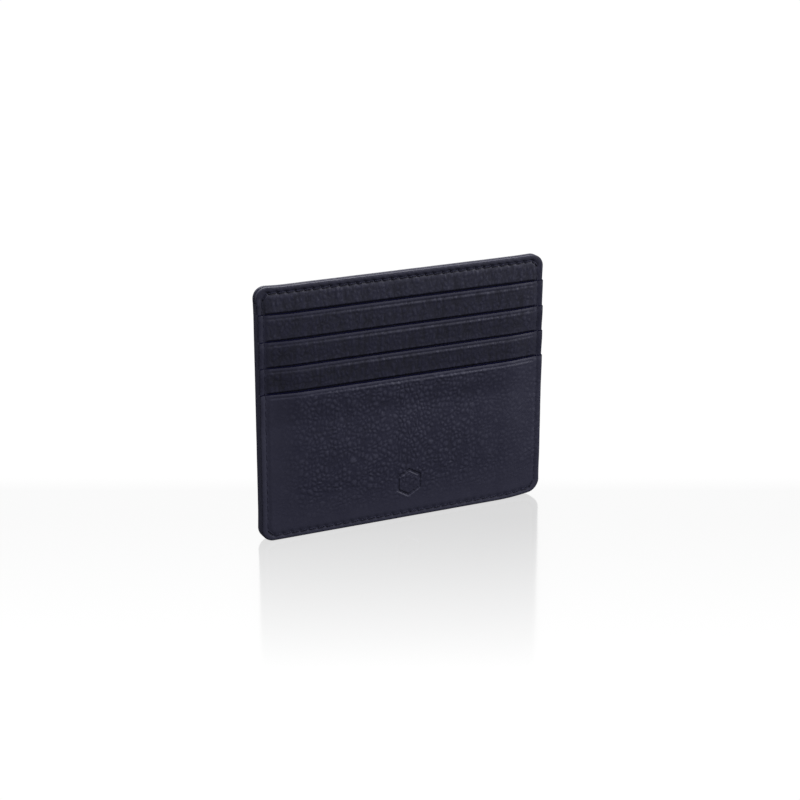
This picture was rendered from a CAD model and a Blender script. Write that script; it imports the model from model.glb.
import math

import bpy
import numpy as np
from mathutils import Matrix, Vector


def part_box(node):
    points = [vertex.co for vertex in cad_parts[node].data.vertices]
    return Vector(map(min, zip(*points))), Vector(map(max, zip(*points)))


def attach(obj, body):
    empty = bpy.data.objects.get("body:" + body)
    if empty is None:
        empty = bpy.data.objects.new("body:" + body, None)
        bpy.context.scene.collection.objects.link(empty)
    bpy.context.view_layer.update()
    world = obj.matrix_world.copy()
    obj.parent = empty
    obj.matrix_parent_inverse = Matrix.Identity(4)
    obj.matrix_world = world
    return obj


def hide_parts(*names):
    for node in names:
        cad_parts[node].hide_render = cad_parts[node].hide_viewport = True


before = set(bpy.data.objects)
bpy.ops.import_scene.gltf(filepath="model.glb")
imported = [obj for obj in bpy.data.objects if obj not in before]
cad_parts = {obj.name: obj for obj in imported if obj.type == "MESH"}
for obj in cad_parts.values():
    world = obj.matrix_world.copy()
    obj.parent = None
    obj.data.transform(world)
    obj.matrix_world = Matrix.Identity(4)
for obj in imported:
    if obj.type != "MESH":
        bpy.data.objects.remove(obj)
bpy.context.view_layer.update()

# A dark navy leather card holder. The shapes are worked out in millimetres, x to the right, y to the
# back, z up, and become metres when a mesh is made. "Depth" is how far something lies in front of
# the base panel's face, and "fall" is the distance down from a pocket's mouth.

MM = 0.001


def low_mm(node):
    return np.array(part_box(node)[0]) / MM


def high_mm(node):
    return np.array(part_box(node)[1]) / MM


# -------- places read from the frame

HALF_WIDTH = high_mm("edge_paint_right")[0]
TOP = high_mm("edge_paint_front_top")[2]
PLATE_HALF = high_mm("front_base_panel")[0]
PLATE_BOTTOM = low_mm("front_base_panel")[2]
PLATE_TOP = high_mm("front_base_panel")[2]
BASE_Y = low_mm("front_base_panel")[1]
BASE_REAR_Y = high_mm("front_base_panel")[1]
REAR_Y = high_mm("rear_panel")[1]
REAR_INNER_Y = low_mm("rear_panel")[1]
COMPARTMENT_Y = (low_mm("compartment_filler_bottom")[1], high_mm("compartment_filler_bottom")[1])
LIP_RAISE = 0.08
MOUTHS = [high_mm(f"pocket_{step}_mouth_paint")[2] + LIP_RAISE for step in (1, 2, 3, 4)]
FACING_ENDS = [low_mm(f"pocket_{step}_facing")[2] for step in (1, 2, 3)]
PITCH = MOUTHS[0] - MOUTHS[1]
TOP_SPLIT = low_mm("edge_paint_front_top")[2]

CORNER = 4.0
PAINT = HALF_WIDTH - PLATE_HALF
PLATE_CORNER = CORNER - PAINT

# The seams, from the boxes of the threads.
THREAD_HALF = 0.14
SEAM_X = high_mm("perimeter_needle_thread")[0] - THREAD_HALF
SEAM_BOTTOM = low_mm("perimeter_needle_thread")[2] + THREAD_HALF
SEAM_TOP = high_mm("front_top_needle_thread")[2] - THREAD_HALF
REAR_SEAM_TOP = high_mm("rear_top_needle_thread")[2] - THREAD_HALF
ROW_HALF = HALF_WIDTH - CORNER
ROW_STITCHES = 31
COLUMN_STITCHES = 26

# -------- small functions

NOISE_CELLS = 128
GRAIN_WANDER = 0.35
FURROW_WIDTH = 0.9


def smooth(value):
    """An even rise from 0 to 1."""
    value = np.clip(value, 0.0, 1.0)
    return value * value * (3.0 - 2.0 * value)


def bump(value, centre, width):
    """A soft bump of height 1."""
    return np.exp(-(((value - centre) / width) ** 2))


def value_noise(x, z, cell, seed):
    """Smooth noise from -1 to 1 that changes over about one cell."""
    table = np.random.default_rng(seed).uniform(-1.0, 1.0, (NOISE_CELLS, NOISE_CELLS))
    u, v = x / cell, z / cell
    column, row = np.floor(u).astype(int), np.floor(v).astype(int)
    across, up = smooth(u - column), smooth(v - row)
    rows = (row % NOISE_CELLS, (row + 1) % NOISE_CELLS)
    columns = (column % NOISE_CELLS, (column + 1) % NOISE_CELLS)
    lower, upper = (
        table[line, columns[0]] + (table[line, columns[1]] - table[line, columns[0]]) * across
        for line in rows
    )
    return lower + (upper - lower) * up


def pebbles(x, z, cell, stretch, seed):
    """Leather grain: 0 in the furrows and 1 on the pebbles, which are stretched upwards."""
    table = np.random.default_rng(seed).random((NOISE_CELLS, NOISE_CELLS, 2))
    u = x / cell + GRAIN_WANDER * value_noise(x, z, 1.7 * cell, seed + 1)
    v = z / (cell * stretch) + GRAIN_WANDER * value_noise(x, z, 1.7 * cell, seed + 2)
    column, row = np.floor(u).astype(int), np.floor(v).astype(int)
    nearest = np.full(u.shape, np.inf)
    second = np.full(u.shape, np.inf)
    for i in (-1, 0, 1):
        for j in (-1, 0, 1):
            offset = 0.02 + 0.96 * table[(row + j) % NOISE_CELLS, (column + i) % NOISE_CELLS]
            distance = np.hypot(column + i + offset[..., 0] - u, row + j + offset[..., 1] - v)
            second = np.minimum(second, np.maximum(nearest, distance))
            nearest = np.minimum(nearest, distance)
    return smooth((second - nearest) / FURROW_WIDTH)


def half_width_at(z, half, bottom, top, radius):
    """Half the width of a rounded rectangle at a height."""
    past = np.maximum(bottom + radius - z, z - (top - radius))
    past = np.clip(past, 0.0, radius)
    return half - radius + np.sqrt(radius * radius - past * past)


def rounded_distance(x, z, half, bottom, top, radius):
    """Distance outside (positive) or inside (negative) a rounded rectangle."""
    middle = (bottom + top) / 2
    across = np.abs(x) - (half - radius)
    up = np.abs(z - middle) - ((top - bottom) / 2 - radius)
    outside = np.hypot(np.maximum(across, 0.0), np.maximum(up, 0.0))
    return outside + np.minimum(np.maximum(across, up), 0.0) - radius


# -------- the holder's own bend

BEND_START = 34.0
BEND_REACH = HALF_WIDTH - BEND_START
BEND_LIFT = 1.4
BEND_LIFT_HEIGHT = 32.0
BEND_BACK = 0.5
BEND_BACK_HEIGHT = 16.0
TOP_RAISE = 0.18
LEFT_RAISE = 0.2
LEFT_REACH = 11.0
RAISE_START = 58.0
RAISE_REACH = 22.0
CORNER_SPREAD = 0.22
CORNER_START_X = 40.0
CORNER_START_Z = 31.0
CORNER_REACH = 10.0


def settle(points):
    """The slight bend of a used holder.

    Its lower right corner curls up and back, its top stands a little higher, most at the left end,
    and its corners spread.
    """
    x, y, z = points[..., 0], points[..., 1], points[..., 2]
    curl = np.clip((x - BEND_START) / BEND_REACH, 0.0, 1.2) ** 2
    high = smooth((z - RAISE_START) / RAISE_REACH)
    lift = BEND_LIFT * curl * (1.0 - smooth(z / BEND_LIFT_HEIGHT))
    lift += TOP_RAISE * high
    lift += LEFT_RAISE * high * smooth((-x - CORNER_START_X) / LEFT_REACH)
    back = BEND_BACK * curl * (1.0 - smooth(z / BEND_BACK_HEIGHT))
    sideways = smooth((np.abs(x) - CORNER_START_X) / CORNER_REACH)
    upright = smooth((np.abs(z - TOP / 2) - CORNER_START_Z) / CORNER_REACH)
    spread = CORNER_SPREAD * (sideways * upright)
    lift += spread * (z > TOP / 2)
    return np.stack([x + spread * np.sign(x), y + back, z + lift], axis=-1)


# -------- seams

SEAM_CORNER = 2.9
# Where a seam has no row along the top, its outline runs on far above the holder.
OPEN_TOP = TOP + 40.0
SIDE_MARGIN = 0.1

# Round each needle hole the leather is drawn into a slit that leans over the seam line, hardly at
# the sides and most along the top.
SLIT_ZONE = 1.6
SLIT_REACH = 1.5
SLIT_LENGTH = 0.8
SLIT_WIDTH = 0.45
SLIT_ACROSS = 0.9
SLIT_UP = 0.45
SIDE_PULL = 0.04
BOTTOM_PULL = 0.6
TOP_PULL = 1.0
PIT_DEPTH = 0.28
CHANNEL_DEPTH = 0.12
SIDE_CHANNEL_DEPTH = 0.05
CHANNEL_WIDTH = 0.5
SIDE_ZONE = 2.0
SIDE_ZONE_REACH = 1.5
EDGE_ROUNDING = 0.1
EDGE_ROUNDING_REACH = 0.5


def seam_places(row_z, with_sides):
    """The needle holes, in order along the seam."""
    sides = []
    low, high = CORNER, TOP - CORNER
    if with_sides:
        sides = [low + (high - low) * step / COLUMN_STITCHES for step in range(COLUMN_STITCHES + 1)]
    row = [-ROW_HALF + 2 * ROW_HALF * step / ROW_STITCHES for step in range(ROW_STITCHES + 1)]
    left = [(-SEAM_X, height) for height in reversed(sides)]
    right = [(SEAM_X, height) for height in sides]
    return left + [(x, row_z) for x in row] + right


PERIMETER = seam_places(SEAM_BOTTOM, True)
FRONT_ROW = [(-SEAM_X, TOP - CORNER)] + seam_places(SEAM_TOP, False) + [(SEAM_X, TOP - CORNER)]
REAR_ROW = seam_places(REAR_SEAM_TOP, False)
BAND_HOLES = sorted(set(FRONT_ROW + PERIMETER))


def at_side_seam(x):
    return abs(x) > SEAM_X - SIDE_MARGIN


def seam_distance(x, z, top):
    """Distance outside (positive) or inside (negative) the seam line."""
    return rounded_distance(x, z, SEAM_X, SEAM_BOTTOM, top, SEAM_CORNER)


def hole_pull(x, z):
    """How strongly the leather is drawn in at a needle hole."""
    if at_side_seam(x):
        return SIDE_PULL
    return TOP_PULL if z > TOP / 2 else BOTTOM_PULL


def hole_pits(x, z, top, holes):
    """The drawn-in leather at each needle hole, from 0 to 1."""
    flat_x, flat_z = x.ravel(), z.ravel()
    pits = np.zeros(flat_x.shape)
    near = np.flatnonzero(np.abs(seam_distance(x, z, top).ravel()) < SLIT_ZONE)
    for hole_x, hole_z in holes:
        across = flat_x[near] - hole_x
        up = flat_z[near] - hole_z
        close = (np.abs(across) < SLIT_REACH) & (np.abs(up) < SLIT_REACH)
        lean = SLIT_UP * across[close] + SLIT_ACROSS * up[close]
        along = SLIT_ACROSS * across[close] - SLIT_UP * up[close]
        slit = np.exp(-((along / SLIT_LENGTH) ** 2) - (lean / SLIT_WIDTH) ** 2)
        pits[near[close]] += hole_pull(hole_x, hole_z) * slit
    return np.minimum(pits.reshape(x.shape), 1.0)


def seam_sink(x, z, top, holes):
    """How far the thread pulls the leather down: a channel along the seam and a pit at each hole."""
    distance = seam_distance(x, z, top)
    at_sides = smooth((np.abs(x) - SEAM_X + SIDE_ZONE) / SIDE_ZONE_REACH)
    width = CHANNEL_WIDTH + CHANNEL_WIDTH * at_sides * (distance < 0)
    channel = (CHANNEL_DEPTH + SIDE_CHANNEL_DEPTH * at_sides) * bump(distance, 0.0, width)
    return channel + PIT_DEPTH * hole_pits(x, z, top, holes)


def inside_seam(x, z, reach, top=OPEN_TOP):
    """0 on the seam and outside it, 1 beyond reach inside it."""
    return smooth((-seam_distance(x, z, top) - 0.2) / reach)


def edge_rounding(x, z):
    """How far a cut edge is rounded back beside the paint."""
    inwards = -rounded_distance(x, z, PLATE_HALF, PLATE_BOTTOM, PLATE_TOP, PLATE_CORNER)
    return EDGE_ROUNDING * np.clip(1.0 - inwards / EDGE_ROUNDING_REACH, 0.0, 1.0) ** 2


# -------- the front surfaces

# The pockets are numbered from the top, and the last one is the lower panel.
LOWER = 3

# Depth of each pocket's front at its mouth and where the next pocket covers it, in the middle of
# the holder and at the sewn sides.
MIDDLE_LIP = (1.15, 1.75, 2.05, 2.45)
MIDDLE_TAIL = (0.75, 1.15, 1.4, 1.75)
SIDE_LIP = (0.62, 0.95, 1.02, 1.15)
SIDE_TAIL = (0.42, 0.50, 0.56, 0.85)
PLY = 0.6
LOWER_PLY = 0.75

# Under a mouth the lip falls back, then come a crease, a soft ridge and a slope down to the next
# mouth, which is longer on the lower panel. The leather goes deeper where the next pocket covers it.
LIP_DROP = 0.2
LIP_DROP_REACH = 1.1
CREASE_FALL = 1.4
CREASE_DEPTH = 0.14
CREASE_WIDTH = 0.3
RIDGE_FALL = 2.1
RIDGE_HEIGHT = 0.09
RIDGE_WIDTH = 0.45
LOWER_SLOPE = 1.4
COVERED_DROP = 0.3
COVERED_REACH = 2.0
WAVE_HEIGHT = 0.08
WAVE_LENGTH = 16.0
WAVE_REACH = 5.0
PUCKER_HEIGHT = 0.07
BAND_PILLOW = 0.1
REAR_PILLOW = 0.12
SIDE_LEVEL_DROP = 0.03

STRIP_RELIEF = 0.18
PANEL_RELIEF = 0.22
PLAIN_TONE = 0.4
PANEL_TONE = 0.72
RUBBED_TONE = 0.1

EMBLEM_X = 1.2
EMBLEM_Z = 12.1
EMBLEM_INNER = 3.4
EMBLEM_GROOVE = 0.85
EMBLEM_DEPTH = 0.2


def grain(x, z, pulled):
    """The pebbled grain, from 0 to 1. It is rounder on the open panel and drawn upwards on the strips."""
    if pulled:
        coarse = pebbles(x, z, cell=1.25, stretch=1.7, seed=11)
        fine = pebbles(x + 5.0, z, cell=0.8, stretch=1.6, seed=13)
        streaks = value_noise(x, z * 0.3, cell=1.2, seed=17)
        return np.clip(0.42 * coarse + 0.14 * fine + 0.12 + 0.22 * streaks, 0.0, 1.0)
    coarse = pebbles(x, z, cell=1.5, stretch=1.15, seed=23)
    fine = pebbles(x, z + 5.0, cell=0.9, stretch=1.2, seed=27)
    folds = value_noise(x, z * 0.7, cell=2.6, seed=29)
    return np.clip(0.62 * coarse + 0.16 * fine + 0.33 + 0.14 * folds, 0.0, 1.0)


def panel_relief(x, z):
    """How strongly the lower panel's grain stands out: most in the middle, least near its edges."""
    across = smooth((x + HALF_WIDTH - 4.0) / 17.0) * (1.0 - 0.6 * smooth((x - 14.0) / 28.0))
    return 0.12 + 0.88 * across * smooth((z - 3.0) / 15.0)


def front_mask(index, x, z):
    """How strongly the grain shows at a place on a front pocket."""
    below_lip = smooth((MOUTHS[index] - z - 0.6) / 0.9)
    if index == LOWER:
        return below_lip * panel_relief(x, z)
    return below_lip * (0.4 + 0.6 * inside_seam(x, z, 3.0))


def front_grain(index, x, z):
    return grain(x, z, False) if index == LOWER else grain(x, z + 3.0 * index, True)


def band_mask(z):
    """How strongly the grain shows on the top band: less at its top edge."""
    return 0.5 + 0.5 * smooth((TOP - 2.2 - z) / 1.5)


def rear_grain(x, z):
    return grain(x + 37.0, z + 11.0, False)


def rear_mask(x, z):
    """How strongly the grain shows on the rear panel: least outside its seams."""
    return 0.25 + 0.5 * inside_seam(x, z, 12.0, REAR_SEAM_TOP)


def leather_tone(grains, mask, pits, plain=PLAIN_TONE):
    """0 in furrows and needle holes, 1 on the pebbles, and the plain tone where the leather is smooth."""
    return (plain + (grains - plain) * mask) * (1.0 - pits)


def rubbed_border(x, z):
    """The sewn border outside the side and bottom seams is rubbed a little lighter."""
    return RUBBED_TONE * smooth(seam_distance(x, z, OPEN_TOP) / 0.4)


def emblem(x, z):
    """A plain hexagonal ring pressed into the leather."""
    across = np.abs(x - EMBLEM_X)
    up = np.abs(z - EMBLEM_Z)
    distance = np.maximum(across, 0.5 * across + math.cos(math.radians(30)) * up)
    middle = EMBLEM_INNER + EMBLEM_GROOVE / 2
    return 1.0 - smooth((np.abs(distance - middle) - EMBLEM_GROOVE / 2 + 0.1) / 0.25)


def tuck(index, x, z):
    """How far the leather dips into the mouth of the pocket in front of it."""
    opening = inside_seam(x, z, 1.5) * (0.4 + 0.25 * bump(x, 2.0, 30.0))
    return opening * smooth((MOUTHS[index] + 0.4 - z) / 0.5)


def base_depth(x, z):
    """The top band of the base panel, which lies under the pockets below the first mouth."""
    relief = STRIP_RELIEF * grain(x, z, True) * band_mask(z)
    puckers = PUCKER_HEIGHT * value_noise(x, z * 0.2, cell=0.8, seed=41) * bump(z, SEAM_TOP - 2.6, 1.9)
    pillow = BAND_PILLOW * inside_seam(x, z, 1.6, SEAM_TOP)
    sink = seam_sink(x, z, SEAM_TOP, BAND_HOLES)
    return relief + puckers + pillow - sink - edge_rounding(x, z) - tuck(0, x, z)


def panel_swell(x, z):
    """The lower panel swells quickly from the side seams and slowly from the bottom seam."""
    return smooth((SEAM_X - 0.2 - np.abs(x)) / 12.0) * smooth((z - SEAM_BOTTOM + 2.0) / 34.0)


def lip_share(index, fall):
    """1 at a pocket's lip and 0 where the slope below it ends."""
    reach = PITCH if index < LOWER else LOWER_SLOPE * PITCH
    return 1.0 - smooth((fall - CREASE_FALL) / (reach - CREASE_FALL))


def pocket_depth(index, x, z):
    """The front of a pocket: a lip, a creased line under it, a soft ridge and a long slope down."""
    fall = MOUTHS[index] - z
    inner = inside_seam(x, z, 11.0) if index < LOWER else panel_swell(x, z)
    lip = SIDE_LIP[index] + (MIDDLE_LIP[index] - SIDE_LIP[index]) * inner
    tail = SIDE_TAIL[index] + (MIDDLE_TAIL[index] - SIDE_TAIL[index]) * inner
    depth = tail + (lip - tail) * lip_share(index, fall)
    creased = inside_seam(x, z, 2.5)
    strong = (0.3 + 0.7 * smooth((x + 34.0) / 28.0)) * (1.0 - 0.65 * smooth((x - 26.0) / 20.0))
    depth -= LIP_DROP * creased * np.clip(1.0 - fall / LIP_DROP_REACH, 0.0, 1.0) ** 2
    depth -= CREASE_DEPTH * creased * (0.5 + 0.5 * strong) * bump(fall, CREASE_FALL, CREASE_WIDTH)
    depth += RIDGE_HEIGHT * creased * strong * bump(fall, RIDGE_FALL, RIDGE_WIDTH)
    if index < LOWER:
        covered = COVERED_DROP * smooth((fall - PITCH) / COVERED_REACH)
        depth -= np.maximum(tuck(index + 1, x, z), covered)
    waviness = value_noise(x, np.full(z.shape, index * 7.0), WAVE_LENGTH, seed=53)
    depth += WAVE_HEIGHT * inner * waviness * (1.0 - smooth(fall / WAVE_REACH))
    relief = STRIP_RELIEF if index < LOWER else PANEL_RELIEF
    depth += relief * front_grain(index, x, z) * front_mask(index, x, z)
    if index == LOWER:
        depth -= EMBLEM_DEPTH * emblem(x, z)
    return depth - seam_sink(x, z, OPEN_TOP, PERIMETER) - edge_rounding(x, z)


def side_depth(z):
    """Depth of whichever front surface shows at the cut sides."""
    z = np.asarray(z, dtype=float)
    depth = np.zeros(z.shape)
    for index, mouth in enumerate(MOUTHS):
        below = z <= mouth
        if below.any():
            share = lip_share(index, mouth - z[below])
            depth[below] = SIDE_TAIL[index] + (SIDE_LIP[index] - SIDE_TAIL[index]) * share
    return depth - SIDE_LEVEL_DROP


def rear_depth(x, z):
    """The outside of the rear panel, measured outwards from its flat face."""
    relief = PANEL_RELIEF * rear_grain(x, z) * rear_mask(x, z)
    pillow = REAR_PILLOW * inside_seam(x, z, 2.5, REAR_SEAM_TOP)
    sink = seam_sink(x, z, REAR_SEAM_TOP, REAR_ROW + PERIMETER)
    return relief + pillow - sink - edge_rounding(x, z)


# -------- meshes

STRIP_GRID = 0.25
PANEL_GRID = 0.3
REAR_GRID = 0.34
LIP_GRID = 0.2
EMBLEM_GRID = 0.14
HIDDEN_GRID = 1.0
LIP_TURNS = 9
# How far below its mouth a pocket's flat grid starts; the rounded lip is above it.
LIP_HEIGHT = 0.3


def make_piece(name, points, faces, material, nodes, smooth_shade=True, tone=None):
    """A visible piece from points in millimetres, in place of its nodes."""
    mesh = bpy.data.meshes.new(name)
    mesh.from_pydata((settle(points) * MM).tolist(), [], faces)
    mesh.validate()
    mesh.polygons.foreach_set("use_smooth", [smooth_shade] * len(mesh.polygons))
    if tone is not None:
        layer = mesh.attributes.new("pebble", "FLOAT", "POINT")
        layer.data.foreach_set("value", np.asarray(tone, dtype=np.float32))
    mesh.materials.append(material)
    mesh.update()
    piece = bpy.data.objects.new(name, mesh)
    bpy.context.scene.collection.objects.link(piece)
    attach(piece, "root")
    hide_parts(*nodes)
    return piece


def grid_faces(rows, columns, start, flip):
    faces = []
    for row in range(rows - 1):
        for column in range(columns - 1):
            a = start + row * columns + column
            quad = (a, a + 1, a + 1 + columns, a + columns)
            faces.append(quad[::-1] if flip else quad)
    return faces


def slab_mesh(face, back, picks):
    """A closed sheet: a fine grid on its face and a coarse one behind it, at the picked columns."""
    rows, columns = face.shape[:2]
    coarse = len(picks)
    start = rows * columns
    faces = grid_faces(rows, columns, 0, False) + grid_faces(rows, coarse, start, True)
    for row in range(rows - 1):
        left, right = row * columns, row * columns + columns - 1
        back_left, back_right = start + row * coarse, start + row * coarse + coarse - 1
        faces.append((left, left + columns, back_left + coarse, back_left))
        faces.append((right + columns, right, back_right, back_right + coarse))
    for row, flip in ((0, False), (rows - 1, True)):
        for number, (first, last) in enumerate(zip(picks, picks[1:])):
            rim = [row * columns + column for column in range(last, first - 1, -1)]
            rim += [start + row * coarse + number, start + row * coarse + number + 1]
            faces.append(tuple(reversed(rim)) if flip else tuple(rim))
    points = np.concatenate([face.reshape(-1, 3), back.reshape(-1, 3)])
    return points, faces


def spaced(start, stop, step):
    count = max(2, int(round(abs(stop - start) / step)) + 1)
    return np.linspace(start, stop, count)


def joined(*runs):
    """Runs of values, end to end, without the repeated ones."""
    values = np.concatenate(runs)
    return np.unique(np.round(values, 6))


def column_shares(step, fine_spans=()):
    """Places across the half width from -1 to 1, closer together in the fine spans."""
    runs = [spaced(-1.0, 1.0, step / PLATE_HALF)]
    for first, last, fine_step in fine_spans:
        runs.append(spaced(first / PLATE_HALF, last / PLATE_HALF, fine_step / PLATE_HALF))
    shares = joined(*runs)
    keep = np.concatenate([[True], np.diff(shares) > 0.02 / PLATE_HALF])
    keep[-1] = True
    return shares[keep]


def picked(count, number=14):
    """A few of a grid's columns, from the first to the last."""
    return sorted(set(np.linspace(0, count - 1, number).astype(int).tolist()))


def plate_points(heights, shares):
    """Places on a plate at the heights, in columns that follow its rounded corners."""
    half = half_width_at(heights, PLATE_HALF, PLATE_BOTTOM, PLATE_TOP, PLATE_CORNER)
    x = shares[None, :] * half[:, None]
    z = np.repeat(heights[:, None], len(shares), axis=1)
    return x, z


def corner_heights(step):
    """Heights over a plate, closer together in the rounded corners."""
    turn = PLATE_CORNER * (1.0 - np.cos(np.linspace(0.0, math.pi / 2, 14)))
    middle = spaced(PLATE_BOTTOM + PLATE_CORNER, PLATE_TOP - PLATE_CORNER, step)
    return PLATE_BOTTOM + turn, middle, PLATE_TOP - turn


def padded_tone(values, count):
    """One tone for each point: the grid's own, and a plain one for the points behind it."""
    tone = np.full(count, PLAIN_TONE)
    tone[: values.size] = values.ravel()
    return tone


def build_plate(name, node, x, z, face_y, back_y, shown, material):
    """A whole panel, shaped on its face and flat at its back."""
    face = np.stack([x, face_y, z], axis=-1)
    picks = picked(x.shape[1])
    back = np.stack([x, np.full(x.shape, back_y), z], axis=-1)[:, picks]
    points, faces = slab_mesh(face, back, picks)
    tone = padded_tone(shown, len(points))
    piece = make_piece(name, points, faces, material, [node], tone=tone)


def build_base_panel(material):
    """The front leather, with a fine grid on its top band and a coarse one behind the pockets."""
    low_turn, middle, high_turn = corner_heights(4.0)
    band = spaced(MOUTHS[0] - 3.5, PLATE_TOP - PLATE_CORNER, STRIP_GRID)
    crown = spaced(PLATE_TOP - PLATE_CORNER, PLATE_TOP, STRIP_GRID)
    heights = joined(low_turn, middle[middle < MOUTHS[0] - 4.0], band, crown, high_turn)
    x, z = plate_points(heights, column_shares(STRIP_GRID))
    face_y = BASE_Y - base_depth(x, z)
    pits = hole_pits(x, z, SEAM_TOP, BAND_HOLES)
    shown = leather_tone(grain(x, z, True), band_mask(z), pits) + rubbed_border(x, z)
    build_plate("front_leather", "front_base_panel", x, z, face_y, BASE_REAR_Y, shown, material)


def build_rear_panel(material):
    """The rear leather, whose columns run from right to left because it faces backwards."""
    low_turn, middle, high_turn = corner_heights(REAR_GRID)
    heights = joined(low_turn[::3], middle, high_turn[::3])
    mirrored_x, z = plate_points(heights, column_shares(REAR_GRID))
    x = -mirrored_x
    face_y = REAR_Y + rear_depth(x, z)
    pits = hole_pits(x, z, REAR_SEAM_TOP, REAR_ROW + PERIMETER)
    shown = leather_tone(rear_grain(x, z), rear_mask(x, z), pits, PANEL_TONE)
    build_plate("rear_leather", "rear_panel", x, z, face_y, REAR_INNER_Y, shown, material)


def ply_thickness(index, x, z):
    """A pocket's leather is pared thinner in the seams and where the next pocket covers it."""
    full = PLY if index < LOWER else LOWER_PLY
    pared = 0.62 + 0.38 * inside_seam(x, z, 3.0)
    if index < LOWER:
        pared = pared * (1.0 - 0.6 * smooth((MOUTHS[index] - z - PITCH) / COVERED_REACH))
    return full * pared


def lip_roll(index, x):
    """Where a rounded lip starts, its radius and the depth of its middle line."""
    start = np.full(x.shape, MOUTHS[index] - LIP_HEIGHT)
    radius = ply_thickness(index, x, start) / 2
    return start, radius, pocket_depth(index, x, start) - radius


def lip_surface(index, x):
    """The rounded lip over the mouth, from behind it to its front: depths and heights, in rows."""
    _, radius, middle = lip_roll(index, x)
    angles = np.linspace(math.pi, 0.0, LIP_TURNS)[:, None]
    depths = middle + radius * np.cos(angles)
    heights = MOUTHS[index] - radius + radius * np.sin(angles)
    return depths, heights


def build_pocket(index, name, node, heights, shares, material):
    """A pocket's leather from its rounded lip down to its lower end."""
    x, z = plate_points(heights, shares)
    depth = pocket_depth(index, x, z)
    lip_x = np.repeat(x[:1], LIP_TURNS - 1, axis=0)
    lip_depth, lip_z = (rows[:-1] for rows in lip_surface(index, x[0]))
    face_x = np.concatenate([lip_x, x])
    face_y = BASE_Y - np.concatenate([lip_depth, depth])
    face_z = np.concatenate([lip_z, z])
    face = np.stack([face_x, face_y, face_z], axis=-1)[::-1]
    picks = picked(len(shares))
    fade = np.linspace(0.0, 1.0, LIP_TURNS - 1)[:, None]
    rear_lip_z = lip_z[0] - fade * 0.9 * (lip_z[0] - heights[1])
    rear_plate_z = np.minimum(z, rear_lip_z[-1] - 0.01 * np.arange(len(z))[:, None])
    rear_z = np.concatenate([rear_lip_z, rear_plate_z])
    front_depth = np.concatenate([np.repeat(depth[:1], LIP_TURNS - 1, axis=0), depth])
    rear_y = BASE_Y - front_depth + ply_thickness(index, face_x, rear_z)
    rear_y[0] = face_y[0]
    back = np.stack([face_x, rear_y, rear_z], axis=-1)[::-1][:, picks]
    points, faces = slab_mesh(face, back, picks)
    pits = hole_pits(x, z, OPEN_TOP, PERIMETER)
    plain = PLAIN_TONE if index < LOWER else PANEL_TONE
    shown = leather_tone(front_grain(index, x, z), front_mask(index, x, z), pits, plain)
    shown += rubbed_border(x, z)
    lip_tone = np.full(lip_x.shape, PLAIN_TONE)
    tone = padded_tone(np.concatenate([lip_tone, shown])[::-1], len(points))
    piece = make_piece(name, points, faces, material, [node], tone=tone)


def build_facing(index, material):
    """A stepped pocket's leather, with a coarse grid where the next pocket hides it."""
    top = MOUTHS[index] - LIP_HEIGHT
    shown = top - PITCH - 0.9
    hidden_part = spaced(FACING_ENDS[index], shown, HIDDEN_GRID)
    heights = joined(hidden_part, spaced(shown, top, 0.22))[::-1]
    name = f"pocket_{index + 1}_leather"
    node = f"pocket_{index + 1}_facing"
    build_pocket(index, name, node, heights, column_shares(STRIP_GRID), material)


def build_lower_panel(material):
    """The lower panel's leather, with a finer grid at its lip and its emblem."""
    top = MOUTHS[LOWER] - LIP_HEIGHT - 0.05
    low_turn = PLATE_BOTTOM + PLATE_CORNER * (1.0 - np.cos(np.linspace(0.0, math.pi / 2, 10)))
    lip_zone = spaced(top - 4.0, top, LIP_GRID)
    emblem_zone = spaced(EMBLEM_Z - 5.3, EMBLEM_Z + 5.3, EMBLEM_GRID)
    middle = spaced(PLATE_BOTTOM + PLATE_CORNER, top - 4.0, PANEL_GRID)
    outside = middle[(middle < emblem_zone[0]) | (middle > emblem_zone[-1])]
    heights = joined(low_turn, outside, emblem_zone, lip_zone)
    keep = np.concatenate([[True], np.diff(heights) > 0.01])
    heights = heights[keep][::-1]
    shares = column_shares(PANEL_GRID, [(EMBLEM_X - 4.8, EMBLEM_X + 4.8, 0.15)])
    build_pocket(LOWER, "lower_pocket_leather", "lower_pocket_panel", heights, shares, material)


# -------- painted edges

MOUTH_COAT = 0.03
MOUTH_COAT_SPREAD = 0.015
EDGE_SIDES = 30
EDGE_SQUARENESS = 2 / 3.2
EDGE_SWELL = 0.18
EDGE_TUCK = 0.4
EDGE_RECESS = 0.06
JOINT_DEPTH = 0.06
JOINT_WIDTH = 0.09
PLY_JOINT = 0.3
SPLIT_OVERLAP = 0.4
# Steps along the coats: fine at the sides, where the pockets' ends step back.
SIDE_STEP = 0.12
TURN_STEP = 0.3
ROW_STEP = 0.5


def tube_mesh(sections):
    """A closed skin through equal closed sections, with a cap at each end."""
    count, around = sections.shape[:2]
    faces = []
    for row in range(count - 1):
        for column in range(around):
            following = (column + 1) % around
            a, b = row * around + column, row * around + following
            faces.append((a, b, b + around, a + around))
    faces.append(tuple(range(around - 1, -1, -1)))
    faces.append(tuple((count - 1) * around + column for column in range(around)))
    return sections.reshape(-1, 3), faces


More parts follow.
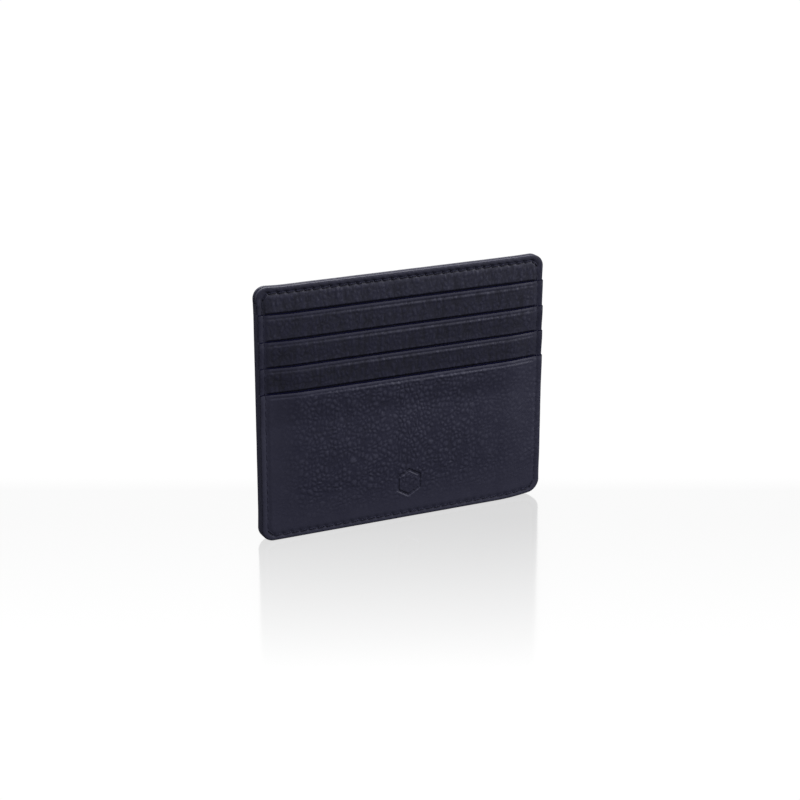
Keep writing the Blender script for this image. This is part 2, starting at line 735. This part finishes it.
def build_mouth_paint(index, material):
    """The painted cut edge over a pocket's lip, with a slightly uneven front line."""
    x = np.linspace(-PLATE_HALF + 0.05, PLATE_HALF - 0.05, 420)
    start, radius, middle = lip_roll(index, x)
    coat = MOUTH_COAT + MOUTH_COAT_SPREAD * value_noise(x, start, cell=2.3, seed=61 + index)
    outside = [(angle, 1.0, 1.0) for angle in np.linspace(0.25, math.pi + 0.2, 15)]
    inside = [(math.pi * 0.75, 0.5, 0.0), (math.pi * 0.25, 0.5, 0.0)]
    rings = []
    for angle, share, coated in outside + inside:
        reach = radius * share + coat * coated
        depth = middle + reach * math.cos(angle)
        height = MOUTHS[index] - radius + reach * math.sin(angle)
        rings.append(np.stack([x, BASE_Y - depth, height], axis=-1))
    points, faces = tube_mesh(np.stack(rings, axis=1))
    name = f"mouth_edge_paint_{index + 1}"
    make_piece(name, points, faces, material, [f"pocket_{index + 1}_mouth_paint"])


def corner_turn(side, end, start_angle, count=14):
    """Centre and outward directions of a quarter turn round one corner."""
    centre_x = side * (HALF_WIDTH - CORNER)
    centre_z = CORNER if end == "bottom" else TOP - CORNER
    places = []
    for angle in np.linspace(start_angle, start_angle + math.pi / 2, count):
        outwards = (math.cos(angle), math.sin(angle))
        places.append((centre_x, centre_z, outwards))
    return places


def edge_path(parts):
    """Points of the plates' outline with their outward directions, from straight runs and corners."""
    places = []
    for kind, data in parts:
        if kind == "turn":
            for centre_x, centre_z, (nx, nz) in corner_turn(*data):
                places.append((centre_x + nx * PLATE_CORNER, centre_z + nz * PLATE_CORNER, nx, nz))
        else:
            (x0, z0), (x1, z1), (nx, nz), step = data
            length = math.hypot(x1 - x0, z1 - z0)
            for share in np.linspace(0.0, 1.0, max(2, int(length / step)))[1:-1]:
                places.append((x0 + (x1 - x0) * share, z0 + (z1 - z0) * share, nx, nz))
    return np.array(places)


def edge_bead(name, path, front_y, rear_y, joints, material, nodes):
    """Edge paint over a path: a flat-topped bead across the thickness that shows the plies' joints."""
    sections = []
    thickness = rear_y - front_y
    travel = np.concatenate([[0.0], np.cumsum(np.hypot(*np.diff(path[:, :2], axis=0).T))])
    swell = 1.0 + EDGE_SWELL * value_noise(travel, np.zeros_like(travel), cell=5.0, seed=71)
    for (x, z, nx, nz), front, size, fat in zip(path, front_y, thickness, swell):
        ring = []
        for angle in np.linspace(-math.pi / 2, math.pi / 2, EDGE_SIDES):
            share = math.copysign(abs(math.sin(angle)) ** EDGE_SQUARENESS, angle) * 0.5 + 0.5
            out = PAINT * fat * abs(math.cos(angle)) ** EDGE_SQUARENESS
            y = front + size * share
            for joint in joints:
                out -= JOINT_DEPTH * math.exp(-(((y - joint) / JOINT_WIDTH) ** 2))
            ring.append((x + nx * out, y, z + nz * out))
        for share in (0.93, 0.07):
            ring.append((x - nx * EDGE_TUCK, front + size * share, z - nz * EDGE_TUCK))
        sections.append(ring)
    points, faces = tube_mesh(np.array(sections))
    make_piece(name, points, faces, material, nodes)


def build_edge_paint_around(material):
    """One coat up both sides and along the bottom, over both halves of the holder."""
    half, end = PLATE_HALF, TOP_SPLIT + SPLIT_OVERLAP
    path = edge_path([
        ("run", ((-half, end), (-half, CORNER), (-1.0, 0.0), SIDE_STEP)),
        ("turn", (-1, "bottom", math.pi)),
        ("run", ((-ROW_HALF, PLATE_BOTTOM), (ROW_HALF, PLATE_BOTTOM), (0.0, -1.0), ROW_STEP)),
        ("turn", (1, "bottom", 1.5 * math.pi)),
        ("run", ((half, CORNER), (half, end), (1.0, 0.0), SIDE_STEP)),
    ])
    front = BASE_Y - side_depth(path[:, 1]) + EDGE_RECESS
    bottom_front = BASE_Y - SIDE_TAIL[LOWER] + EDGE_RECESS
    front = np.where(path[:, 1] < CORNER, bottom_front, front)
    joints = [BASE_Y, sum(COMPARTMENT_Y) / 2, BASE_REAR_Y + PLY_JOINT, REAR_INNER_Y - PLY_JOINT]
    nodes = ["edge_paint_left", "edge_paint_right", "edge_paint_bottom"]
    rear = np.full(front.shape, REAR_Y - EDGE_RECESS)
    edge_bead("edge_paint_around", path, front, rear, joints, material, nodes)


def build_edge_paint_over(material):
    """A coat over the top of each half, which part there."""
    half, high, top_turn = PLATE_HALF, PLATE_TOP, TOP - CORNER
    path = edge_path([
        ("run", ((half, TOP_SPLIT), (half, top_turn), (1.0, 0.0), TURN_STEP)),
        ("turn", (1, "top", 0.0)),
        ("run", ((ROW_HALF, high), (-ROW_HALF, high), (0.0, 1.0), ROW_STEP)),
        ("turn", (-1, "top", 0.5 * math.pi)),
        ("run", ((-half, top_turn), (-half, TOP_SPLIT), (-1.0, 0.0), TURN_STEP)),
    ])
    ones = np.ones(len(path))
    halves = [
        ("edge_paint_over_front", BASE_Y + EDGE_RECESS, COMPARTMENT_Y[0], "edge_paint_front_top"),
        ("edge_paint_over_rear", COMPARTMENT_Y[1], REAR_Y - EDGE_RECESS, "edge_paint_rear_top"),
    ]
    for name, front_limit, rear_limit, node in halves:
        edge_bead(name, path, ones * front_limit, ones * rear_limit, [], material, [node])


# -------- threads

THREAD_RADIUS = 0.17
PLIES_SWELL = 0.17
TWIST_PITCH = 1.1
STITCH_RINGS = 22
STITCH_SIDES = 12
STITCH_MARGIN = 0.04
STITCH_LEAN = 0.16
LEAN_SPREAD = 0.03
STITCH_RISE = 0.06
SIDE_RISE = -0.16
RISE_SPREAD = 0.02
RISE_SHARE = 0.2
HOLE_DEPTH = 0.42
# How far the thread's bed lies below each surface.
BAND_BED = 0.05
POCKET_BED = 0.08
REAR_BED = 0.06


def stitch_ring(centre, outwards, across, travel):
    """One ring of a twisted three-ply thread."""
    ring = []
    for angle in np.linspace(0.0, 2 * math.pi, STITCH_SIDES, endpoint=False):
        plies = 1.0 + PLIES_SWELL * math.cos(3 * angle - 2 * math.pi * travel / TWIST_PITCH * 3 / 2)
        radius = THREAD_RADIUS * plies
        ring.append(centre + outwards * (radius * math.sin(angle)) + across * (radius * math.cos(angle)))
    return ring


def stitch_line(start, end, lean, height, level, facing):
    """The middle line of one stitch, which rises from one hole and dips into the next."""
    length = np.hypot(*(end - start))
    along = (end - start) / length
    normal = np.array([-along[1], along[0]])
    centres = []
    for share in np.linspace(STITCH_MARGIN, 1.0 - STITCH_MARGIN, STITCH_RINGS):
        x, z = start + along * length * share + normal * lean * (2 * share - 1)
        rise = smooth(min(share, 1 - share) / RISE_SHARE)
        lifted = level(z) - HOLE_DEPTH + (HOLE_DEPTH + height) * rise
        centres.append((x, facing * lifted, z))
    return np.array(centres)


def stitch_sections(centres, facing):
    """Rings of twisted thread along a stitch's middle line."""
    sections = []
    travel = 0.0
    before = centres[0]
    for centre, tangent in zip(centres, np.gradient(centres, axis=0)):
        tangent = tangent / np.linalg.norm(tangent)
        side = np.cross(tangent, (0.0, facing, 0.0))
        side /= np.linalg.norm(side)
        travel += np.linalg.norm(centre - before)
        sections.append(stitch_ring(centre, np.cross(side, tangent), side, travel))
        before = centre
    return np.array(sections)


def build_thread(name, places, level, facing, node):
    """Stitches that lean over the seam line, from each needle hole to the next."""
    points, faces = [], []
    rng = np.random.default_rng(len(places))
    for start, end in zip(places, places[1:]):
        lean = STITCH_LEAN + LEAN_SPREAD * rng.uniform(-1, 1)
        at_side = at_side_seam(start[0]) and at_side_seam(end[0])
        height = (SIDE_RISE if at_side else STITCH_RISE) + RISE_SPREAD * rng.uniform(-1, 1)
        centres = stitch_line(np.array(start), np.array(end), lean, height, level, facing)
        ring_points, ring_faces = tube_mesh(stitch_sections(centres, facing))
        offset = len(points)
        points.extend(ring_points.tolist())
        faces.extend(tuple(offset + index for index in face) for face in ring_faces)
    make_piece(name, np.array(points), faces, NAVY_THREAD, [node])


def front_level(z):
    """How far the front surface lies towards the viewer from y = 0, without grain or pits."""
    if z > MOUTHS[0]:
        return -BASE_Y - BAND_BED
    return -BASE_Y + float(side_depth([z])[0]) - POCKET_BED


def rear_level(_):
    """How far the rear surface lies from y = 0 at the seams: the same at every height."""
    return REAR_Y - REAR_BED


def build_threads():
    build_thread("perimeter_needle_stitches", PERIMETER, front_level, -1, "perimeter_needle_thread")
    build_thread("front_top_needle_stitches", FRONT_ROW, front_level, -1, "front_top_needle_thread")
    build_thread("perimeter_bobbin_stitches", PERIMETER, rear_level, 1, "perimeter_bobbin_thread")
    build_thread("rear_top_needle_stitches", REAR_ROW, rear_level, 1, "rear_top_needle_thread")


# -------- hidden pieces

HIDDEN_MARGIN = 0.6
SIDE_ROOM = 0.15
MIDDLE_ROOM = 0.75
ROOM_REACH = 6.0


def copy_node(node, name, material):
    """A hidden piece as designed, but kept inside the painted edges and pressed flatter at the sides."""
    source = bpy.data.objects[node].data
    coordinates = np.empty(len(source.vertices) * 3)
    source.vertices.foreach_get("co", coordinates)
    points = coordinates.reshape(-1, 3) / MM
    points[:, 0] *= 1.0 - HIDDEN_MARGIN / HALF_WIDTH
    points[:, 2] = TOP / 2 + (points[:, 2] - TOP / 2) * (1.0 - 2 * HIDDEN_MARGIN / TOP)
    depth = np.maximum(BASE_Y - points[:, 1], 0.0)
    room = SIDE_ROOM + MIDDLE_ROOM * smooth((SEAM_X - np.abs(points[:, 0])) / ROOM_REACH)
    points[:, 1] = np.where(depth > 0.0, BASE_Y - depth * room, points[:, 1])
    faces = [tuple(polygon.vertices) for polygon in source.polygons]
    return make_piece(name, points, faces, material, [node], smooth_shade=False)


# -------- materials

FURROW_NAVY = (0.0042, 0.0042, 0.0115)
PLAIN_NAVY = (0.0133, 0.0133, 0.0290)
PEBBLE_NAVY = (0.0310, 0.0310, 0.0530)
# Most values of a noise texture lie in this span.
NOISE_SPAN = (0.3, 0.7)


def new_material(name, roughness, specular):
    material = bpy.data.materials.new(name)
    material.use_nodes = True
    nodes = material.node_tree.nodes
    shader = nodes["Principled BSDF"]
    shader.inputs["Roughness"].default_value = roughness
    shader.inputs["Specular IOR Level"].default_value = specular
    return material, nodes, material.node_tree.links, shader


def add_node(nodes, kind, **values):
    """A new node with the given inputs and settings."""
    node = nodes.new(kind)
    for key, value in values.items():
        if key in node.inputs:
            node.inputs[key].default_value = value
        else:
            setattr(node, key, value)
    return node


def object_noise(nodes, links, scale, detail, stretch=(1.0, 1.0, 1.0)):
    coordinates = nodes.new("ShaderNodeTexCoord")
    mapping = nodes.new("ShaderNodeMapping")
    mapping.inputs["Scale"].default_value = stretch
    noise = add_node(nodes, "ShaderNodeTexNoise", Scale=scale, Detail=detail)
    links.new(coordinates.outputs["Object"], mapping.inputs["Vector"])
    links.new(mapping.outputs["Vector"], noise.inputs["Vector"])
    return noise


def ramp(nodes, links, source, low, high, low_value, high_value):
    """A value that goes from the low one to the high one as the source does."""
    fit = nodes.new("ShaderNodeMapRange")
    fit.inputs["From Min"].default_value = low
    fit.inputs["From Max"].default_value = high
    fit.inputs["To Min"].default_value = low_value
    fit.inputs["To Max"].default_value = high_value
    links.new(source, fit.inputs["Value"])
    return fit.outputs["Result"]


def noise_ramp(nodes, links, noise, low_value, high_value):
    return ramp(nodes, links, noise.outputs["Fac"], *NOISE_SPAN, low_value, high_value)


def color_between(nodes, links, shader, pattern, first, second):
    """A base colour that follows a pattern from the first colour to the second."""
    mix = nodes.new("ShaderNodeMix")
    mix.data_type = "RGBA"
    mix.inputs["A"].default_value = (*first, 1.0)
    mix.inputs["B"].default_value = (*second, 1.0)
    links.new(pattern.outputs["Fac"], mix.inputs["Factor"])
    links.new(mix.outputs["Result"], shader.inputs["Base Color"])


def add_bump(nodes, links, shader, pattern, strength, distance):
    node = add_node(nodes, "ShaderNodeBump", Strength=strength, Distance=distance)
    links.new(pattern.outputs["Fac"], node.inputs["Height"])
    links.new(node.outputs["Normal"], shader.inputs["Normal"])


def leather_material():
    """Drum-dyed navy leather: polished pebble tops, darker rougher furrows and fine pores."""
    material, nodes, links, shader = new_material("navy_leather", 0.5, 0.3)
    pebble = add_node(nodes, "ShaderNodeAttribute", attribute_name="pebble")
    colors = nodes.new("ShaderNodeValToRGB")
    colors.color_ramp.elements[0].color = (*FURROW_NAVY, 1.0)
    colors.color_ramp.elements[1].color = (*PEBBLE_NAVY, 1.0)
    plain = colors.color_ramp.elements.new(PLAIN_TONE)
    plain.color = (*PLAIN_NAVY, 1.0)
    links.new(pebble.outputs["Fac"], colors.inputs["Fac"])
    cloud = object_noise(nodes, links, 240.0, 4.0)
    blend = nodes.new("ShaderNodeMix")
    blend.data_type = "RGBA"
    blend.inputs["B"].default_value = (*PLAIN_NAVY, 1.0)
    links.new(noise_ramp(nodes, links, cloud, 0.0, 0.35), blend.inputs["Factor"])
    links.new(colors.outputs["Color"], blend.inputs["A"])
    links.new(blend.outputs["Result"], shader.inputs["Base Color"])
    pores = object_noise(nodes, links, 2600.0, 2.0)
    matte = ramp(nodes, links, pebble.outputs["Fac"], 0.0, PLAIN_TONE, 0.36, 0.0)
    satin = noise_ramp(nodes, links, pores, 0.42, 0.56)
    rough = add_node(nodes, "ShaderNodeMath", operation="ADD")
    links.new(matte, rough.inputs[0])
    links.new(satin, rough.inputs[1])
    links.new(rough.outputs["Value"], shader.inputs["Roughness"])
    add_bump(nodes, links, shader, pores, 0.35, 0.00003)
    return material


def paint_material():
    """Flexible edge paint: satin, with faint brush waves along the edge."""
    material, nodes, links, shader = new_material("edge_paint", 0.6, 0.12)
    waves = object_noise(nodes, links, 420.0, 3.0)
    color_between(nodes, links, shader, waves, (0.011, 0.011, 0.023), (0.016, 0.016, 0.031))
    links.new(noise_ramp(nodes, links, waves, 0.54, 0.68), shader.inputs["Roughness"])
    add_bump(nodes, links, shader, waves, 0.3, 0.00004)
    return material


def mouth_paint_material():
    """Matt black-navy paint rubbed into the pockets' cut edges."""
    material, nodes, links, shader = new_material("mouth_paint", 0.9, 0.02)
    waves = object_noise(nodes, links, 900.0, 3.0)
    color_between(nodes, links, shader, waves, (0.0013, 0.0013, 0.0080), (0.0024, 0.0024, 0.0115))
    links.new(noise_ramp(nodes, links, waves, 0.8, 0.95), shader.inputs["Roughness"])
    add_bump(nodes, links, shader, waves, 0.3, 0.00003)
    return material


def thread_material():
    """Twisted polyester thread with fine filaments."""
    material, nodes, links, shader = new_material("navy_thread", 0.75, 0.1)
    filaments = object_noise(nodes, links, 3800.0, 2.0, (1.0, 1.0, 0.5))
    color_between(nodes, links, shader, filaments, (0.008, 0.008, 0.017), (0.018, 0.018, 0.034))
    add_bump(nodes, links, shader, filaments, 0.5, 0.00005)
    return material


def cloth_material():
    """Thin twill lining."""
    material, nodes, links, shader = new_material("twill_lining", 0.8, 0.2)
    coordinates = nodes.new("ShaderNodeTexCoord")
    waves = add_node(nodes, "ShaderNodeTexWave", Scale=900.0, Distortion=0.6, bands_direction="DIAGONAL")
    links.new(coordinates.outputs["Object"], waves.inputs["Vector"])
    color_between(nodes, links, shader, waves, (0.007, 0.008, 0.015), (0.018, 0.019, 0.031))
    add_bump(nodes, links, shader, waves, 0.4, 0.00005)
    return material


def board_material():
    """Grey fibre board inside the panels."""
    material, nodes, links, shader = new_material("fibre_board", 0.85, 0.2)
    fibres = object_noise(nodes, links, 700.0, 4.0, (1.0, 1.0, 0.2))
    color_between(nodes, links, shader, fibres, (0.10, 0.095, 0.09), (0.20, 0.19, 0.18))
    add_bump(nodes, links, shader, fibres, 0.4, 0.00005)
    return material


def filler_material():
    """Skived leather strip, flesh side out."""
    material, nodes, links, shader = new_material("skived_leather", 0.8, 0.2)
    fibres = object_noise(nodes, links, 1100.0, 3.0)
    color_between(nodes, links, shader, fibres, (0.014, 0.014, 0.022), (0.034, 0.033, 0.044))
    add_bump(nodes, links, shader, fibres, 0.5, 0.00005)
    return material


# -------- the pieces

LEATHER = leather_material()
EDGE_PAINT = paint_material()
MOUTH_PAINT = mouth_paint_material()
NAVY_THREAD = thread_material()
LINING = cloth_material()
BOARD = board_material()
FILLER = filler_material()

build_base_panel(LEATHER)
build_rear_panel(LEATHER)
for pocket in (0, 1, 2):
    build_facing(pocket, LEATHER)
build_lower_panel(LEATHER)
for pocket in (0, 1, 2, 3):
    build_mouth_paint(pocket, MOUTH_PAINT)
build_edge_paint_around(EDGE_PAINT)
build_edge_paint_over(EDGE_PAINT)
build_threads()

for half in ("front", "rear"):
    cloth = copy_node(f"{half}_lining", f"{half}_lining_cloth", LINING)
    copy_node(f"{half}_stiffener", f"{half}_stiffener_board", BOARD)
    copy_node(f"{half}_top_bobbin_thread", f"{half}_top_bobbin_stitches", NAVY_THREAD)
for number in (1, 2, 3):
    node = f"pocket_{number}_lining"
    cloth = copy_node(node, f"{node}_cloth", LINING)
for family in ("compartment_filler", "pocket_filler"):
    for place in ("bottom", "left", "right"):
        copy_node(f"{family}_{place}", f"{family}_{place}_strip", FILLER)

# -------- stage, light and camera

# Here lengths are in metres.
CAMERA_YAW = math.radians(25.6)
CAMERA_PITCH = math.radians(18.6)
CAMERA_DISTANCE = 0.635
LOOK_AT = Vector((-0.00106, 0.00012, 0.04006))
LENS_MM = 89.0
SENSOR_MM = 36.0

# The floor's gloss starts behind the holder and dies away in front of it, towards the camera.
FLOOR_REACH = 3.0
FLOOR_GLOSS = 0.33
GLOSS_START = -0.04
GLOSS_FULL = -0.022
FLOOR_FADE = 0.117
FADE_POWER = 1.2
# Strengths of the white floor, room and wall, as the camera sees them and as light.
FLOOR_SEEN = 1.02
FLOOR_LIGHT = 0.1
ROOM_SEEN = 1.05
ROOM_LIGHT = 0.39
WALL_LIGHT = 1.02
WALL_DIRECTION = (0.40, 0.84, 0.37)
WALL_EDGE = (0.80, 0.90)


def floor_material():
    """White acrylic with a gloss that only the camera sees."""
    material = bpy.data.materials.new("white_acrylic")
    material.use_nodes = True
    nodes, links = material.node_tree.nodes, material.node_tree.links
    nodes.clear()
    coordinates = nodes.new("ShaderNodeTexCoord")
    distance = add_node(nodes, "ShaderNodeVectorMath", operation="DOT_PRODUCT")
    distance.inputs[1].default_value = (-math.sin(CAMERA_YAW), -math.cos(CAMERA_YAW), 0.0)
    links.new(coordinates.outputs["Object"], distance.inputs[0])
    towards = distance.outputs["Value"]
    curve = add_node(nodes, "ShaderNodeMath", operation="POWER")
    curve.inputs[1].default_value = FADE_POWER
    links.new(ramp(nodes, links, towards, 0.0, FLOOR_FADE, 0.0, 1.0), curve.inputs[0])
    fading = add_node(nodes, "ShaderNodeMath", operation="MULTIPLY")
    links.new(ramp(nodes, links, curve.outputs["Value"], 0.0, 1.0, FLOOR_GLOSS, 0.0), fading.inputs[0])
    links.new(ramp(nodes, links, towards, GLOSS_START, GLOSS_FULL, 0.0, 1.0), fading.inputs[1])
    rays = nodes.new("ShaderNodeLightPath")
    share = add_node(nodes, "ShaderNodeMath", operation="MULTIPLY")
    links.new(fading.outputs["Value"], share.inputs[0])
    links.new(rays.outputs["Is Camera Ray"], share.inputs[1])
    glow = nodes.new("ShaderNodeEmission")
    strength = ramp(nodes, links, rays.outputs["Is Camera Ray"], 0.0, 1.0, FLOOR_LIGHT, FLOOR_SEEN)
    links.new(strength, glow.inputs["Strength"])
    gloss = add_node(nodes, "ShaderNodeBsdfAnisotropic", Roughness=0.1)
    mix = nodes.new("ShaderNodeMixShader")
    output = nodes.new("ShaderNodeOutputMaterial")
    links.new(share.outputs["Value"], mix.inputs[0])
    links.new(glow.outputs[0], mix.inputs[1])
    links.new(gloss.outputs[0], mix.inputs[2])
    links.new(mix.outputs[0], output.inputs["Surface"])
    return material


def build_floor():
    """A white floor whose gloss dies away in front of the holder."""
    mesh = bpy.data.meshes.new("floor")
    corners = [(FLOOR_REACH * x, FLOOR_REACH * y, 0.0) for x, y in ((-1, -1), (1, -1), (1, 1), (-1, 1))]
    mesh.from_pydata(corners, [], [(0, 1, 2, 3)])
    mesh.materials.append(floor_material())
    floor = bpy.data.objects.new("floor", mesh)
    bpy.context.scene.collection.objects.link(floor)


def light_the_room():
    """White all round for the camera, and a dim room with one white wall behind the holder for light."""
    world = bpy.data.worlds.new("white_room")
    bpy.context.scene.world = world
    world.use_nodes = True
    nodes, links = world.node_tree.nodes, world.node_tree.links
    background = nodes["Background"]
    directions = nodes.new("ShaderNodeTexCoord")
    facing = add_node(nodes, "ShaderNodeVectorMath", operation="DOT_PRODUCT")
    facing.inputs[1].default_value = WALL_DIRECTION
    rays = nodes.new("ShaderNodeLightPath")
    brighter = add_node(nodes, "ShaderNodeMath", operation="MAXIMUM")
    links.new(directions.outputs["Generated"], facing.inputs[0])
    wall = ramp(nodes, links, facing.outputs["Value"], *WALL_EDGE, ROOM_LIGHT, WALL_LIGHT)
    seen = ramp(nodes, links, rays.outputs["Is Camera Ray"], 0.0, 1.0, 0.0, ROOM_SEEN)
    links.new(wall, brighter.inputs[0])
    links.new(seen, brighter.inputs[1])
    background.inputs["Color"].default_value = (1.0, 1.0, 1.0, 1.0)
    links.new(brighter.outputs["Value"], background.inputs["Strength"])


def add_area_light(name, place, target, size, power):
    """A rectangular lamp at a place, turned towards its target."""
    data = bpy.data.lights.new(name, "AREA")
    data.shape = "RECTANGLE"
    data.size, data.size_y = size
    data.energy = power
    light = bpy.data.objects.new(name, data)
    light.location = place
    light.rotation_euler = (Vector(target) - Vector(place)).to_track_quat("-Z", "Y").to_euler()
    bpy.context.scene.collection.objects.link(light)


def add_camera():
    data = bpy.data.cameras.new("camera")
    data.sensor_width = SENSOR_MM
    data.lens = LENS_MM
    data.clip_start = 0.01
    camera = bpy.data.objects.new("camera", data)
    bpy.context.scene.collection.objects.link(camera)
    level = math.cos(CAMERA_PITCH)
    x, y = -math.sin(CAMERA_YAW) * level, -math.cos(CAMERA_YAW) * level
    towards_camera = Vector((x, y, math.sin(CAMERA_PITCH)))
    camera.location = LOOK_AT + towards_camera * CAMERA_DISTANCE
    camera.rotation_euler = (-towards_camera).to_track_quat("-Z", "Y").to_euler()
    bpy.context.scene.camera = camera


build_floor()
light_the_room()
add_area_light("overhead", (0.28, -0.32, 0.90), (0.0, 0.0, 0.05), (0.42, 0.22), 12.5)
add_area_light("front_right", (0.55, -0.42, 0.22), (0.0, 0.0, 0.04), (0.4, 0.4), 2.3)
add_area_light("left_back", (-0.55, 0.22, 0.22), (0.0, 0.0, 0.04), (0.4, 0.4), 1.9)
add_area_light("behind", (0.1, 0.6, 0.75), (0.0, 0.0, 0.04), (0.5, 0.3), 14.0)
add_camera()
bpy.context.scene.view_settings.view_transform = "Standard"
